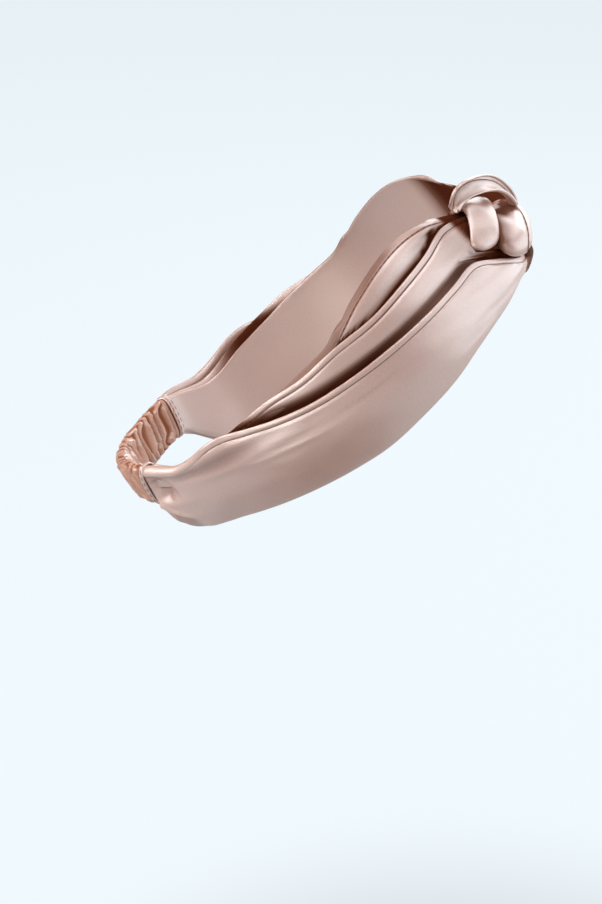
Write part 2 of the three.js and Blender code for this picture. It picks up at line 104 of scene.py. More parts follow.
# The creases of the folded strip, as in the solids, with more of them about the stitched hems.
# sewn is a crease's layer where the strip is flattened into the seam, steps is how many columns of
# the mesh run from a crease to the next, and pleat and role say what it is.
CREASE_COLUMNS = (
    "start", "end", "share", "drop", "layer", "sewn", "gather", "reach", "steps", "pleat", "role",
)
BAND_CREASES = (
    ("upper", "lower", 0, 2.4, 0, 0, 0, 167, 3, "lining", "face"),
    ("upper", "lower", 0.22, 0, 0, 0, 0, 157.5, 3, "lining", "face"),
    ("upper", "lower", 0.38, 0, 0, 0, 0, 152.5, 3, "lining", "face"),
    ("upper", "lower", 0.6, 0, 0, 0, 0, 153.5, 3, "lining", "face"),
    ("upper", "lower", 1, -5, 0, 0, 0, 172, 2, "lining", "edge"),
    ("upper", "lower", 1, -1, 0.2, 0.5, 0, 179, 2, "lining", "edge"),
    ("lower", "front", 0, 0, 1, 2.2, 0, 179.92, 2, "front", "edge"),
    ("lower", "front", 0.05, 0, 2.2, 4.2, 0, 179.92, 9, "front", "edge"),
    ("lower", "front", 0.22, 0, 3.9, 5, 0.6, 179.92, 9, "front", "face"),
    ("lower", "front", 0.45, 0, 5.1, 5.3, 1.4, 179.92, 8, "front", "face"),
    ("lower", "front", 0.66, 0, 5.35, 5.3, -1.6, 179.92, 6, "front", "face"),
    ("front", "lower", 0, STITCH_DEPTH + GROOVE_REACH, 5.1, 5.2, 0.2, 179.92, 1, "front", "face"),
    ("front", "lower", 0, STITCH_DEPTH, 5.05, 5.15, 0.3, 179.92, 1, "front", "groove"),
    ("front", "lower", 0, STITCH_DEPTH - GROOVE_REACH, 5.1, 5.1, 0.4, 179.92, 2, "front", "hem"),
    ("front", "lower", 0, EDGE_ROUND, 5.12, 4.7, 0.5, 179.92, 2, "front", "hem"),
    ("front", "lower", 0, 0, 4.82, 4.2, 0.4, 179.9, 2, "front", "hem"),
    ("front", "lower", 0, EDGE_ROUND, 4.52, 3.6, 0.3, 178, 2, "front", "hem"),
    ("front", "lower", 0, STITCH_DEPTH, 4.4, 3.5, 0.2, 172, 2, "front", "back"),
    ("front", "lower", 0, TUCK - 1, 4, 3.4, 0, 162, 1, "front", "back"),
    ("front", "lower", 0, TUCK, 3.5, 3.35, 0, 163, 1, "front", "back"),
    ("front", "lower", 0, TUCK - 1, 3, 3.3, 0, 164, 2, "middle", "back"),
    ("tuck", "middle", 0.33, 0, 3.02, 3.3, 0, 178, 2, "middle", "face"),
    ("tuck", "middle", 0.45, 0, 3.05, 3.3, 0, 167, 1, "middle", "face"),
    ("tuck", "middle", 0.52, 0, 3.08, 3.3, 0, 159, 2, "middle", "face"),
    ("tuck", "middle", 0.65, 0, 3.1, 3.3, 0, 161, 5, "middle", "face"),
    ("middle", "lower", 0, STITCH_DEPTH + GROOVE_REACH, 3.05, 3.3, 0, 167, 1, "middle", "face"),
    ("middle", "lower", 0, STITCH_DEPTH, 3, 3.3, 0, 167, 1, "middle", "groove"),
    ("middle", "lower", 0, STITCH_DEPTH - GROOVE_REACH, 3.05, 3.3, 0, 167, 2, "middle", "hem"),
    ("middle", "lower", 0, EDGE_ROUND, 3.08, 3.1, 0, 167, 2, "middle", "hem"),
    ("middle", "lower", 0, 0, 2.78, 2.3, 0, 167, 2, "middle", "hem"),
    ("middle", "lower", 0, EDGE_ROUND, 2.48, 1.5, 0, 167, 3, "middle", "hem"),
    ("middle", "lower", 0, SMALL_TUCK - 1, 2, 1.3, 0, 153.5, 1, "middle", "back"),
    ("middle", "lower", 0, SMALL_TUCK, 1.55, 1.25, 0, 152.5, 1, "middle", "back"),
    ("middle", "lower", 0, SMALL_TUCK - 1, 1.05, 1.2, 0, 153.5, 8, "upper", "face"),
    ("upper", "lower", 0, STITCH_DEPTH + GROOVE_REACH, 1.1, 1.15, 0, 165, 1, "upper", "face"),
    ("upper", "lower", 0, STITCH_DEPTH, 1.1, 1.15, 0, 167, 1, "upper", "groove"),
    ("upper", "lower", 0, STITCH_DEPTH - GROOVE_REACH, 0.95, 1.1, 0, 167, 2, "upper", "hem"),
    ("upper", "lower", 0, EDGE_ROUND, 0.4, 0.8, 0, 167, 2, "upper", "hem"),
    ("upper", "lower", 0, 0, 0.15, 0.4, 0, 167, 2, "upper", "hem"),
    ("upper", "lower", 0, EDGE_ROUND, -0.05, 0, 0, 167, 2, "lining", "hem"),
)
SEWN_OPENS = (6, 26)  # degrees from the seam over which the flattened layers open
RIGHT_FLARE = -0.22
LEFT_FLARE = 0.45
FLARE_START = 166
LEFT_DROP = 7.8
DROP_START = 146
DROP_END = 166

# How the cloth of the band departs from its smooth folds, in millimetres and degrees.
# Ripples: where they are, their height, their lengths along and across the strip, a seed.
RIPPLE_COLUMNS = ("where", "height", "along", "across", "seed")
BAND_RIPPLES = (
    ("face", 0.5, 42, 11, 0),
    ("face", 0.18, 15, 7, 5),
    ("face", 0.05, 12, 3.5, 37),
    ("seam", 0.8, 34, 3.4, 11),
    ("knot", 0.6, 38, 3.6, 17),
    ("hem", 0.1, 5, 30, 23),
    ("hem", 0.15, 18, 30, 29),
    ("groove", 0.1, 3.1, 30, 31),
)
FREE_FROM_SEAM = (0.5, 3)
SEAM_GATHERS = (30, 52)
KNOT_GATHERS = (128, 152)
STITCHED_FROM = (52, 58)
GROOVE_DEPTH = 0.45
# painted shade along the stitch grooves
GROOVE_SHADE = 0.95
# Dents and ridges: a middle, its reach, how it leans, how far it pushes out, how much painted shade darkens
# it (a negative amount takes painted shade away).
DENT_COLUMNS = (
    "pleat", "angle", "height", "angle_reach", "height_reach", "lean", "slope", "push", "depth",
)
BAND_DENTS = (
    ("front", 33.2, -16.8, 3.4, 4.4, 0, -0.35, -2.6, 0.25),
    ("front", 32.0, -11.0, 2.2, 0.8, 0, 0, -0.8, 0.5),
    ("front", 35.8, -14.6, 2.2, 1.3, 0, -2.0, -1.0, 0.45),
    ("front", 62, -13.2, 17, 2.4, 0, 0.06, 0.8, 0),
    ("front", 60, -8.2, 15, 3.0, 0, 0.06, -0.9, 0.1),
    ("front", 79, -14.2, 14, 0.9, 0, -0.02, -0.35, 0.16),
    ("front", 79, -16.4, 14, 1.5, 0, -0.02, 0.3, 0),
    ("front", 107, -11.8, 11, 0.9, 0, 0.12, -0.3, 0.12),
    ("middle", 156.2, 13.2, 1.1, 9, 0.14, 0, 0.9, 0),
    ("upper", 147, 29.8, 7, 0.9, 0, 0, 0.5, -0.3),
    ("upper", 147, 27.8, 6, 0.7, 0, 0.05, -0.5, 0.3),
    ("upper", 150.8, 26.6, 1.6, 1.6, 0, 0, -1.2, 1),
)
# The roll along the upper edge beside the seam
EDGE_ROLL_START = (27, 31)
EDGE_ROLL_END = (60, 76)
EDGE_ROLL_WIDENS = (44, 60)
EDGE_ROLL = 1.7
EDGE_ROLL_MIDDLE = (1.9, 5.2)
EDGE_ROLL_REACH = (1.8, 3.4)
EDGE_VALLEY = 1.1
EDGE_VALLEY_MIDDLE = (4.8, 11)
EDGE_VALLEY_REACH = (1.4, 3)
EDGE_VALLEY_SHADE = 0.25
# The fold over the lower edge beside the seam
FOLD_PLACE = (31.3, -25.9)
FOLD_SLOPE = -0.98
FOLD_START = (28, 30)
FOLD_END = (35, 41)
FOLD_STEP = (-0.9, 0.2)
FOLD_RIDGE = 1.3
FOLD_RIDGE_PLACE = 1.1
FOLD_RIDGE_REACH = 1.2
FOLD_TUCK = 1.6
FOLD_SHADE = 0.4
# The valleys at the roots of the pleats, and the roll of the upper one
VALLEY_DEPTH = 2.2
VALLEY_REACH = (0.5, 4.5)
# painted shade in the valleys behind the hems reaches this far over the hem in front
VALLEY_SHADE_REACH = (0.3, 5.5)
VALLEY_OPENS = (112, 140)  # towards the knot the painted shade in the valley is lighter
VALLEY_LIGHTER = 0.6
MIDDLE_ROLL = 1.3
MIDDLE_ROLLED = (104, 124)
VALLEY_ROOM = (3, 9)
UPPER_ROLL = 2.0
UPPER_ROLL_WIDTH = 6
ROLL_PLACES = (96, 120, 150, 158)
# Painted shade on the lining near the knot, and on the pleats where they run in under the knot
LINING_SHADE = (144, 154)
LINING_SHADE_HEIGHT = (-32, -22)
KNOT_SHADE = (155, 158.5)
# Painted shade in the pleats: where it starts, on the turned upper hem, on the upper face beside the middle
# hem and on the upper and middle pleats near the knot
PLEATS_OPEN = (44, 60)
UPPER_HEM_TURNED = (134, 146)
UPPER_HEM_SHADE = 0.6
UPPER_CLOSE = (0.2, 1.1)
UPPER_SHADED = (138, 150)
UPPER_SHADE = 0.3
MIDDLE_SHADED = (143, 155)
MIDDLE_SHADE = 0.2
LEFT_RISE = 8
LEFT_CORNER = (26.2, 40)  # the left half's lower edge slants plainly between these angles
LEFT_INSIDE = 168  # the left half's middle pleat runs into the wrap at least this far
# Painted shade along the ends of the halves at the front
END_SHADED = (177, 179.5)
END_SHADE = 0.5

# The knot's wrap: angle and lift of each crease at the front, its lowest and highest heights, and
# how square its loop round the ends of the band is, where 2 is an ellipse
WRAP_COLUMNS = ("angle", "front", "low", "high", "steps", "squareness", "role")
WRAP_CREASES = (
    (159, 6.8, 15, 25.8, 3, 2.7, "back"),
    (157.4, 8.8, 14.2, 26.8, 3, 2.7, "hem"),
    (156.6, 9.8, 13.4, 27.6, 3, 2.7, "hem"),
    (157.4, 11.2, 11.4, 27.8, 4, 2.7, "face"),
    (160, 12.8, 8.8, 27.2, 4, 2.7, "face"),
    (163.8, 13.6, 7.2, 26, 4, 2.7, "face"),
    (166.8, 13.6, 7.2, 24.4, 3, 2.7, "hem"),
    (167.6, 12.8, 7.6, 23.6, 3, 2.7, "hem"),
    (166.8, 12, 8, 22.8, 2, 2.7, "back"),
    (165.6, 11.2, 8.4, 22, 2, 2.7, "back"),
    (166.4, 10.4, 8, 21, 3, 2.4, "back"),
    (168, 11.6, 5.4, 18, 4, 2.2, "back"),
    (169.6, 14.4, 0, 15.8, 4, 2.1, "face"),
    (171.6, 16.8, -3.4, 14.6, 4, 2, "face"),
    (174.2, 18.6, -5.4, 14.8, 4, 2, "face"),
    (176.6, 19.4, -6.2, 14.4, 1, 2, "face"),
    (177.2, 19.5, -6.3, 14.3, 1, 2, "groove"),
    (177.8, 19.7, -6.4, 14.2, 3, 2, "hem"),
    (180.6, 19.8, -6.6, 13.8, 3, 2, "hem"),
    (182.2, 18.6, -6, 13.2, 2, 2, "hem"),
    (181.4, 17, -4.4, 12.6, 2, 2, "back"),
    (180.2, 15, -3.6, 12, 2, 2.2, "back"),
    (181.4, 14.6, -3.2, 12.2, 3, 2.4, "back"),
    (183.4, 15.2, -3.6, 14.6, 4, 2.4, "far"),
    (186, 16.6, -3, 17, 4, 2.4, "far"),
    (189, 16.4, -1.6, 17.6, 4, 2.4, "far"),
    (193, 14.6, 0, 17, 4, 2.4, "far"),
    (196, 11, 1, 16.5, 1, 2.4, "far"),
)
WRAP_DENTS = (
    ("wrap", 163.2, 7.0, 1.1, 5, 0, 0, -1.1, 0.25),
    ("wrap", 166.0, 10.0, 2.0, 12, 0.55, 0, 0, 0.5),
    ("wrap", 170.0, 22.0, 8, 3.0, 0, 0, 0, 0.45),
    ("wrap", 160.0, 15.0, 6, 7, 0.3, 0, 0, 0.12),
)
# Painted shade on the half of the wrap behind and on its far pleat, by share of the way to the front
WRAP_BEHIND = (0.3, 0.55)
WRAP_FAR_SHADE = (0.85, 1.05)
WRAP_BACK = 0
WRAP_LEAN = 0.6
WRAP_SAG = 2.4
WRAP_LEVEL = 15
WRAP_SAGS = (0.55, 0.95)  # share of the way to the front over which the underside sags
WRAP_RIPPLE = 0.45
WRAP_RIPPLE_ALONG = 3.2
WRAP_RIPPLE_ACROSS = 13
WRAP_SEED = 71
WRAP_GROOVE = 0.4
WRAP_TOP = (0.88, 0.97)  # what faces upwards on the right pleat is darkened by painted shadow, as the loop would shade it
WRAP_TOP_SHADED = (168.5, 171)
WRAP_TOP_SHADE = 0.85
WRAP_STATIONS = 110

# The knot's loop: angle, height and lift of its inner and outer edges
LOOP_SECTIONS = (
    ((159.8, 27, 9.6), (161.8, 28.8, 4.6)),
    ((162.6, 28.4, 10.6), (161.6, 33, 8.6)),
    ((165.6, 28.6, 12.8), (162.4, 36.2, 13)),
    ((168.2, 27, 15.6), (165, 36.6, 16.6)),
    ((170.2, 24, 17.4), (169.6, 33.2, 18.2)),
    ((172.4, 20.2, 18), (174.6, 26.8, 18.4)),
    ((174.2, 15.6, 17.8), (177, 18.2, 18.2)),
    ((175.4, 11.4, 17), (176.6, 10.8, 17)),
)
LOOP_STEPS = 12
LOOP_BULGE = 1.5
LOOP_ROLL = 0.9
LOOP_ROLLED = 160  # degrees that an edge is rolled under
LOOP_TURNS = (0, 32, 64, 96, 128)
LOOP_SHARES = (0, 0.08, 0.18, 0.28, 0.38, 0.48, 0.58, 0.68, 0.78, 0.84, 0.88, 0.92, 1)
LOOP_HEM = 0.88
LOOP_HEM_REACH = 0.02
LOOP_GROOVE = 0.35

# The ruched casing and the seam bindings
SECTION_HEIGHT = -13
SECTION_LIFT = 5.5
CASING_SQUARENESS = 4
BINDING_SQUARENESS = 3
CASING_HALF_HEIGHT = 9.6
CASING_HALF_DEPTH = 2.8
CASING_LIFT = 4.2  # at the middle of the back
CASING_DRAWN = (1, 14)  # degrees from a seam over which it is drawn in to there
CASING_END = 0.96
CASING_ARC_PER_DEGREE = 1.74
CASING_STATIONS = 210
CASING_AROUND = 56
RUCHE_LENGTH = 6.4
RUCHE_DEPTH = 1.5
RUCHE_START = 1.2
RUCHE_DRIFT = (11, 1.1, 0.9)  # length along the casing, turns round it and height of a slow wander
RUCHE_FORK = (4.5, 1.8)  # the same length and turns of the short forks between the gathers
RUCHE_FORK_SEED = 7
RUCHE_LEAN = 0.6
RUCHE_SHARPNESS = 0.8
RUCHE_SHARES = (0.75, 0.5, 0.45)  # of a ridge, of the forks on it and of the forks alone
# painted shade deep between the gathers of the casing
RUCHE_SHADED = (0, 0.9)
BINDING_HALF_ANGLE = 0.75
BINDING_HALF_HEIGHT = 9.5
BINDING_HALF_DEPTH = 3.8
BINDING_CROWN = 0.8
BINDING_STATIONS = 13
BINDING_AROUND = 96

# Stitches
STITCH_LENGTH = 2.3
STITCH_GAP = 0.8
STITCH_RADIUS = 0.2
STITCH_SIDES = 6
STITCH_MIDDLE = 0.6  # share of a stitch's length that lies level, between its dipping ends
STITCH_PAST_LEVEL = 1.1  # what lies past this share of the level part dips
STITCH_DIP = 0.3
FRONT_STITCHED = (56, 178)
MIDDLE_STITCHED = (66, 157)
UPPER_STITCHED = (106, 154)
WRAP_STITCHED = 0.1  # cosine of the turn from the front of the wrap where its stitches end
BINDING_ROWS = (3, 9)  # stations of a binding that are stitched


def table(columns, rows):
    """Rows of values as dictionaries under the names of their columns."""
    return [dict(zip(columns, row)) for row in rows]


def mix(a, b, share):
    return a + (b - a) * share


def smoothstep(value, low, high):
    share = min(max((value - low) / (high - low), 0), 1)
    return share * share * (3 - 2 * share)


def unit(vectors):
    """Vectors along the last axis at length 1."""
    return vectors / np.maximum(np.linalg.norm(vectors, axis=-1, keepdims=True), 1e-12)


def column(rows, key, name):
    """A smooth function through one column of a table."""
    keys = [row[key] for row in rows]
    values = [row[name] for row in rows]
    rises = [
        (values[i + 1] - values[i]) / (keys[i + 1] - keys[i]) for i in range(len(keys) - 1)
    ]
    slopes = [rises[0]]
    slopes += [(rises[i - 1] + rises[i]) / 2 for i in range(1, len(rises))]
    slopes.append(rises[-1])

    def value_at(x):
        i = 0
        while i < len(keys) - 2 and x > keys[i + 1]:
            i += 1
        run = keys[i + 1] - keys[i]
        share = (x - keys[i]) / run
        return curve_point(values[i], slopes[i] * run, values[i + 1], slopes[i + 1] * run, share)

    return value_at


def curve_point(a, leave, b, arrive, share):
    """A point of the smooth curve from a to b with the given directions at its ends."""
    t2 = share * share
    t3 = t2 * share
    return (
        (2 * t3 - 3 * t2 + 1) * a
        + (t3 - 2 * t2 + share) * leave
        + (3 * t2 - 2 * t3) * b
        + (t3 - t2) * arrive
    )


def on_ring(angle, height, lift):
    """A point at an angle round the tilted ring, at a height over it, lifted off the head."""
    turn = math.radians(angle)
    rounding = CROWN_ROUNDING if height > 0 else NAPE_ROUNDING
    taper = math.sqrt(1 - (height / rounding) ** 2)
    oval = 1 / math.hypot(math.sin(turn) / RING_HALF_WIDTH, math.cos(turn) / RING_HALF_LENGTH)
    radius = oval * taper + lift
    x = -radius * math.sin(turn)
    y = radius * math.cos(turn)
    across = y * math.cos(RING_TILT) + height * math.sin(RING_TILT)
    up = height * math.cos(RING_TILT) - y * math.sin(RING_TILT)
    return (x * MM, across * MM, up * MM)


def ring_places(points):
    """The angles round the ring and the heights over it of a grid of points."""
    x = points[..., 0] / MM
    y = (points[..., 1] * math.cos(RING_TILT) - points[..., 2] * math.sin(RING_TILT)) / MM
    height = (points[..., 1] * math.sin(RING_TILT) + points[..., 2] * math.cos(RING_TILT)) / MM
    return np.degrees(np.arctan2(-x, y)), height


def from_head(angle):
    """The directions straight out from the head at a grid of angles round the ring."""
    turn = np.radians(angle)
    outwards = np.cos(turn)
    return np.stack((-np.sin(turn), outwards * math.cos(RING_TILT), -outwards * math.sin(RING_TILT)), axis=-1)


def finer_across(rows, steps, closed):
    """More points along each row of a grid, on curves that follow the neighbouring creases."""
    before = np.roll(rows, 1, axis=1)
    after = np.roll(rows, -1, axis=1)
    if not closed:
        before[:, 0] = rows[:, 0]
        after[:, -1] = rows[:, -1]
    direction = unit(after - before)
    count = rows.shape[1]
    columns = []
    for k in range(count if closed else count - 1):
        following = (k + 1) % count
        a = rows[:, k]
        b = rows[:, following]
        reach = np.linalg.norm(b - a, axis=-1, keepdims=True)
        for step in range(steps[k]):
            columns.append(curve_point(
                a, direction[:, k] * reach, b, direction[:, following] * reach, step / steps[k],
            ))
    if not closed:
        columns.append(rows[:, -1])
    return np.stack(columns, axis=1)


def finer_weights(weights, steps, closed):
    """A weight for each column of the finer grid, from the weights of the creases."""
    count = len(weights)
    finer = []
    for k in range(count if closed else count - 1):
        following = weights[(k + 1) % count]
        finer += [mix(weights[k], following, step / steps[k]) for step in range(steps[k])]
    if not closed:
        finer.append(weights[-1])
    return np.array(finer)


def steps_between(points, axis, closed):
    """From the point before to the point after along one direction of a grid."""
    step = np.roll(points, -1, axis=axis) - np.roll(points, 1, axis=axis)
    if not closed:
        first = [slice(None)] * 3
        last = [slice(None)] * 3
        first[axis] = 0
        last[axis] = -1
        step[tuple(first)] = np.take(points, 1, axis=axis) - np.take(points, 0, axis=axis)
        step[tuple(last)] = np.take(points, -1, axis=axis) - np.take(points, -2, axis=axis)
    return step


def outward(points, closed_along, closed_across):
    """The normals of a grid of points."""
    along = steps_between(points, 0, closed_along)
    across = steps_between(points, 1, closed_across)
    return unit(np.cross(along, across))


def facing_out(points, normals):
    """Normals turned to face away from the middle of a closed piece."""
    return normals * np.sign(np.sum(normals * (points - points.mean(axis=(0, 1)))))


def ripple(along, across, seed):
    """Smooth noise from -1 to 1 over a grid, at distances counted in ripples."""
    flat = [
        noise.noise(Vector((a, b, seed))) for a, b in zip(along.ravel(), across.ravel())
    ]
    return np.array(flat).reshape(along.shape)


def smooth_ramp(values, low, high):
    share = np.clip((values - low) / (high - low), 0, 1)
    return share * share * (3 - 2 * share)


def bump(values, middle, width):
    return np.exp(-(((values - middle) / width) ** 2))


# Meshes


def only_active(obj):
    bpy.ops.object.select_all(action="DESELECT")
    obj.select_set(True)
    bpy.context.view_layer.objects.active = obj


def cloth_piece(name, points, thickness, material, closed_along=False, closed_across=False, marks=None):
    """A piece of cloth on a grid of points, with a wall of the given thickness and a woven map."""
    along, across = points.shape[:2]
    cells_along = along if closed_along else along - 1
    cells_across = across if closed_across else across - 1
    index = lambda i, k: (i % along) * across + (k % across)
    faces = [
        (index(i, k), index(i + 1, k), index(i + 1, k + 1), index(i, k + 1))
        for i in range(cells_along)
        for k in range(cells_across)
    ]
    mesh = bpy.data.meshes.new(name)
    mesh.from_pydata(points.reshape(-1, 3).tolist(), [], faces)
    warp = np.linalg.norm(np.roll(points, -1, axis=0) - points, axis=-1).mean(axis=1)
    weft = np.linalg.norm(np.roll(points, -1, axis=1) - points, axis=-1).mean(axis=0)
    warp = np.concatenate([[0], np.cumsum(warp)])
    weft = np.concatenate([[0], np.cumsum(weft)])
    woven = mesh.uv_layers.new(name="woven")
    places = [
        (warp[i + di], weft[k + dk])
        for i in range(cells_along)
        for k in range(cells_across)
        for di, dk in ((0, 0), (1, 0), (1, 1), (0, 1))
    ]
    woven.data.foreach_set("uv", np.array(places, np.float32).ravel())
    for mark, values in (marks or {}).items():
        layer = mesh.attributes.new(mark, "FLOAT", "POINT")
        layer.data.foreach_set("value", np.ascontiguousarray(values, np.float32).ravel())
    obj = bpy.data.objects.new(name, mesh)
    bpy.context.scene.collection.objects.link(obj)
    only_active(obj)
    bpy.ops.object.mode_set(mode="EDIT")
    bpy.ops.mesh.select_all(action="SELECT")
    bpy.ops.mesh.normals_make_consistent(inside=False)
    bpy.ops.object.mode_set(mode="OBJECT")
    wall = obj.modifiers.new("wall", "SOLIDIFY")
    wall.thickness = thickness * MM
    wall.offset = 0
    bpy.ops.object.modifier_apply(modifier=wall.name)
    bpy.ops.object.shade_smooth()
    obj.data.materials.append(material)
    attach(obj, "root")
    return obj


# The band


def swell(share):
    x = min(share, 1)
    return SWELL_SCALE * x * (1 - x) ** 2


def seam_angle(height):
    return SEAM_ANGLE + SEAM_LEAN * (height - SECTION_HEIGHT)


def band_rows(flare, drop, rise, corner, inside):
    """The creases of one half of the band at each station from the seam to the knot."""
    lines_table = table(LINE_COLUMNS, BAND_LINES)
    lines = {name: column(lines_table, "angle", name) for name in LINE_COLUMNS[1:]}
    dropped = lambda angle: drop * smoothstep(angle, DROP_START, DROP_END)

    def line(name, angle):
        if name == "tuck":
            return lines["front"](angle) - TUCK
        if name in ("middle", "upper"):
            return lines[name](angle) - dropped(angle)
        if name == "front":
            return lines[name](angle) + rise * smoothstep(angle, FLARE_START, FRONT_ANGLE)
        if name == "lower" and corner and angle < corner[1]:
            return mix(lines[name](corner[0]), lines[name](corner[1]), smoothstep(angle, *corner))
        return lines[name](angle)

    def height_at(crease, angle):
        place = mix(line(crease["start"], angle), line(crease["end"], angle), crease["share"])
        return place - crease["drop"]

    creases = table(CREASE_COLUMNS, BAND_CREASES)
    rows = []
    for i in range(BAND_STATIONS):
        share = i / (BAND_STATIONS - 1)
        share -= END_CROWDING * math.sin(2 * math.pi * share) / (2 * math.pi)
        row = []
        for crease in creases:
            start = seam_angle(height_at(crease, BAND_LINES[0][0])) + JOIN_HALF_ANGLE
            if share < FAN_SHARE:
                angle = mix(start, FAN_ANGLE, share / FAN_SHARE)
            else:
                reach = crease["reach"]
                if crease["pleat"] == "middle" and crease["role"] == "face":
                    reach = max(reach, inside)
                angle = mix(FAN_ANGLE, reach, (share - FAN_SHARE) / (1 - FAN_SHARE))
            gather = crease["gather"] * swell((angle - start) / GATHER_LENGTH)
            spread = 1 + flare * smoothstep(angle, FLARE_START, FRONT_ANGLE)
            layer = mix(crease["sewn"], crease["layer"], smoothstep(angle - start, *SEWN_OPENS))
            lift = lines["base"](angle) + layer * lines["pitch"](angle) * spread + gather
            row.append(on_ring(angle, height_at(crease, angle), lift))
        rows.append(row)
    return np.array(rows)


def dent(angle, height, row):
    """How much of a dent or ridge there is at each point, from 0 to 1."""
    aside = angle - row["angle"]
    above = height - row["height"]
    across = (aside - row["lean"] * above) / row["angle_reach"]
    along = (above - row["slope"] * aside) / row["height_reach"]
    return np.exp(-across * across - along * along)


def band_points(flare, drop, rise, corner, inside, seed):
    """The finished surface of one half of the band and the marks of painted shade that its material reads."""
    creases = table(CREASE_COLUMNS, BAND_CREASES)
    steps = [crease["steps"] for crease in creases]
    points = finer_across(band_rows(flare, drop, rise, corner, inside), steps, closed=True)
    normal = outward(points, False, True)
    angle, height = ring_places(points)
    arc = angle * ARC_PER_DEGREE

    def weight(test):
        return finer_weights([1.0 if test(crease) else 0.0 for crease in creases], steps, True)[None, :]

    def pleat_weight(name):
        return weight(lambda c: c["pleat"] == name and c["role"] in ("face", "groove", "edge"))

    lines_table = table(LINE_COLUMNS, BAND_LINES)
    line = {name: np.vectorize(column(lines_table, "angle", name))(angle) for name in LINE_COLUMNS[2:5]}
    face = weight(lambda c: c["role"] == "face" and c["pleat"] != "lining")
    hem = weight(lambda c: c["role"] == "hem")
    stitched = smooth_ramp(angle, *STITCHED_FROM)
    groove = weight(lambda c: c["role"] == "groove") * stitched
    places = {
        "face": face,
        "seam": face * (1 - smooth_ramp(angle, *SEAM_GATHERS)),
        "knot": face * smooth_ramp(angle, *KNOT_GATHERS),
        "hem": hem,
        "groove": groove,
    }
    push = -GROOVE_DEPTH * groove
    for row in table(RIPPLE_COLUMNS, BAND_RIPPLES):
        wave = ripple(arc / row["along"], height / row["across"], seed + row["seed"])
        push = push + places[row["where"]] * row["height"] * wave

    root = np.zeros_like(push)
    # each dent's depth is painted shade in its colour
    for row in table(DENT_COLUMNS, BAND_DENTS):
        here = pleat_weight(row["pleat"]) * dent(angle, height, row)
        push += here * row["push"]
        root += here * row["depth"]

    # The roll along the upper edge beside the seam
    below = line["front"] - height
    edge = weight(lambda c: c["pleat"] == "front" and c["role"] != "back")
    edge = edge * smooth_ramp(angle, *EDGE_ROLL_START) * (1 - smooth_ramp(angle, *EDGE_ROLL_END))
    wide = smooth_ramp(angle, *EDGE_ROLL_WIDENS)
    roll = bump(below, mix(*EDGE_ROLL_MIDDLE, wide), mix(*EDGE_ROLL_REACH, wide))
    valley = bump(below, mix(*EDGE_VALLEY_MIDDLE, wide), mix(*EDGE_VALLEY_REACH, wide))
    push += edge * (EDGE_ROLL * roll - EDGE_VALLEY * valley)
    # painted shade in the valley under the roll
    root += edge * EDGE_VALLEY_SHADE * valley

    # The fold over the lower edge beside the seam
    over = height - FOLD_PLACE[1] - FOLD_SLOPE * (angle - FOLD_PLACE[0])
    fold = pleat_weight("front") * smooth_ramp(angle, *FOLD_START) * (1 - smooth_ramp(angle, *FOLD_END))
    tucked = fold * (1 - smooth_ramp(over, *FOLD_STEP))
    lift = fold * FOLD_RIDGE * bump(over, FOLD_RIDGE_PLACE, FOLD_RIDGE_REACH) - tucked * FOLD_TUCK
    # painted shade on the strip tucked under the fold
    root += tucked * FOLD_SHADE

    # The roots of the pleats lie deep behind the hem in front of them
    middle = weight(lambda c: c["pleat"] == "middle" and c["role"] in ("face", "back"))
    room = smooth_ramp(line["middle"] - line["front"], *VALLEY_ROOM)
    over_front = height - line["front"]
    push -= middle * VALLEY_DEPTH * room * (1 - smooth_ramp(over_front, *VALLEY_REACH))
    across = np.clip(over_front / np.maximum(line["middle"] - line["front"], UPPER_ROLL_WIDTH), 0, 1)
    bulge = MIDDLE_ROLL * smooth_ramp(angle, *MIDDLE_ROLLED) * np.sin(math.pi * across)
    push += weight(lambda c: c["pleat"] == "middle" and c["role"] == "face") * bulge
    start, full, fading, end = ROLL_PLACES
    rolled = smooth_ramp(angle, start, full) * (1 - smooth_ramp(angle, fading, end))
    over_middle = height - line["middle"]
    across = np.clip(over_middle / np.maximum(line["upper"] - line["middle"], UPPER_ROLL_WIDTH), 0, 1)
    push += weight(lambda c: c["pleat"] == "upper") * UPPER_ROLL * rolled * np.sin(math.pi * across)
    free = smooth_ramp(angle - seam_angle(height), *FREE_FROM_SEAM)
    points = points + (normal * push[..., None] + from_head(angle) * lift[..., None]) * free[..., None] * MM

    # Painted shade in the colour: how deep a point lies in a fold, and where the pleats, the lining and the
    # ends lie in shade
    opened = smooth_ramp(angle, *PLEATS_OPEN)
    deep = 1 - smooth_ramp(over_front, *VALLEY_SHADE_REACH)
    deep = deep * (1 - VALLEY_LIGHTER * smooth_ramp(angle, *VALLEY_OPENS))
    root += weight(lambda c: c["pleat"] == "middle") * opened * deep
    # painted shade on the upper face beside the middle hem
    close = 1 - smooth_ramp(over_middle, *UPPER_CLOSE)
    root += weight(lambda c: c["pleat"] == "upper" and c["role"] == "face") * opened * close
    # painted shade on the turned upper hem
    turned = 1 - smooth_ramp(angle, *UPPER_HEM_TURNED)
    root += weight(lambda c: c["pleat"] == "upper" and c["role"] == "hem") * opened * turned * UPPER_HEM_SHADE
    # painted shade on the upper and middle pleats near the knot
    root += weight(lambda c: c["pleat"] == "upper") * UPPER_SHADE * smooth_ramp(angle, *UPPER_SHADED)
    root += weight(lambda c: c["pleat"] == "middle") * MIDDLE_SHADE * smooth_ramp(angle, *MIDDLE_SHADED)
    # painted shade on the lining near the knot
    lining = weight(lambda c: c["pleat"] == "lining")
    root += lining * smooth_ramp(angle, *LINING_SHADE) * smooth_ramp(height, *LINING_SHADE_HEIGHT)
